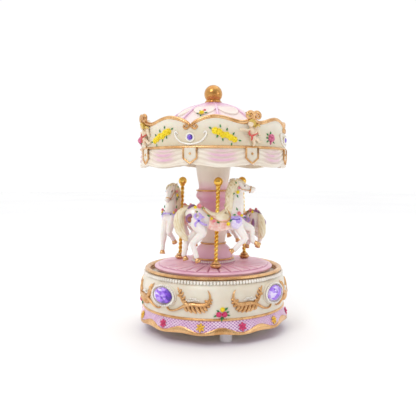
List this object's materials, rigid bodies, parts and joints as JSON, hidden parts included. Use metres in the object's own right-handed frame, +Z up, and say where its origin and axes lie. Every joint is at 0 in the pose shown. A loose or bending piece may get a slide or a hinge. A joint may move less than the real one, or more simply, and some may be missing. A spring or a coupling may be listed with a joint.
{
  "type": "wind-up music box",
  "caption": "Wind-up carousel music box: a drum on pegs holds a comb movement that turns a disc with horses on twisted poles, a column and a domed canopy.",
  "frame": {"origin": "on the floor, under the axis on which the carousel turns", "axes": "+Z up along the turning axis, -Y towards the front of the drum, +X to its right"},
  "size_m": [0.1102, 0.1102, 0.1825],
  "materials": {
    "ivory_resin": "painted cast resin, satin, cream with pink and gold hand colouring",
    "pink_resin": "painted cast resin, satin pink",
    "mauve_resin": "painted cast resin, satin mauve",
    "horse_paint": "painted cast resin, glossy white",
    "gold_paint": "gold paint",
    "polished_brass": "polished and lacquered",
    "violet_stone": "faceted violet stone with a foil back",
    "white_plastic": "moulded",
    "pressed_board": "pressed board",
    "movement_brass": "turned, satin",
    "movement_steel": "hardened steel, satin",
    "zinc_casting": "die-cast, satin"
  },
  "bodies": {
    "base": {"base_shell": "ivory_resin", "bottom_plate": "pressed_board", "foot_front": "white_plastic", "foot_right": "white_plastic", "foot_left": "white_plastic", "plate_screw_1": "movement_steel", "plate_screw_2": "movement_steel", "plate_screw_3": "movement_steel", "base_gem_1": "violet_stone", "base_gem_2": "violet_stone", "base_gem_3": "violet_stone", "base_gem_4": "violet_stone", "bedplate": "zinc_casting", "comb_block": "zinc_casting", "comb": "movement_steel", "comb_screw": "movement_steel", "cylinder_bracket_left": "movement_brass", "cylinder_bracket_right": "movement_brass", "governor_frame": "zinc_casting", "bed_screw_1": "movement_steel", "bed_screw_2": "movement_steel", "bed_screw_3": "movement_steel"},
    "winder": {"winding_key": "zinc_casting", "winding_arbor": "movement_steel"},
    "carousel": {"spring_barrel": "movement_brass", "drive_gear": "movement_brass", "mainspring": "movement_steel", "disc_flange": "zinc_casting", "turning_disc": "pink_resin", "tie_rod": "movement_steel", "tie_nut": "movement_steel", "column_lower": "mauve_resin", "column_upper": "ivory_resin", "pole_front": "polished_brass", "pole_knob_front": "polished_brass", "pole_collar_front": "gold_paint", "horse_front": "horse_paint", "pole_right": "polished_brass", "pole_knob_right": "polished_brass", "pole_collar_right": "gold_paint", "horse_right": "horse_paint", "pole_left": "polished_brass", "pole_knob_left": "polished_brass", "pole_collar_left": "gold_paint", "horse_left": "horse_paint", "canopy": "ivory_resin", "dome": "pink_resin", "finial_collar": "gold_paint", "finial_ball": "gold_paint", "canopy_gem_1": "violet_stone", "canopy_gem_2": "violet_stone", "canopy_gem_3": "violet_stone", "canopy_gem_4": "violet_stone"},
    "cylinder": {"pin_cylinder": "movement_brass"},
    "governor": {"governor_wheel": "movement_brass"},
    "fan": {"governor_fan": "movement_brass"}
  },
  "joints": [
    {"name": "carousel_turn", "type": "hinge", "parent": "base", "child": "carousel", "pos_m": [0, 0, 0.045], "axis": [0, 0, 1], "continuous": true},
    {"name": "cylinder_turn", "type": "hinge", "parent": "base", "child": "cylinder", "pos_m": [0.026, 0, 0.0216], "axis": [1, 0, 0], "continuous": true},
    {"name": "governor_turn", "type": "hinge", "parent": "base", "child": "governor", "pos_m": [0.032, 0.0105, 0.0216], "axis": [1, 0, 0], "continuous": true},
    {"name": "fan_spin", "type": "hinge", "parent": "base", "child": "fan", "pos_m": [0.032, 0.0154, 0.0216], "axis": [0, 0, 1], "continuous": true},
    {"name": "winding_key_turn", "type": "hinge", "parent": "base", "child": "winder", "pos_m": [0, 0, 0.01], "axis": [0, 0, 1], "range_deg": [0, 1440]}
  ],
  "couplings": [
    {"joint": "cylinder_turn", "follows": "carousel_turn", "ratio": -4},
    {"joint": "governor_turn", "follows": "carousel_turn", "ratio": 12.8},
    {"joint": "fan_spin", "follows": "carousel_turn", "ratio": -179.2}
  ]
}
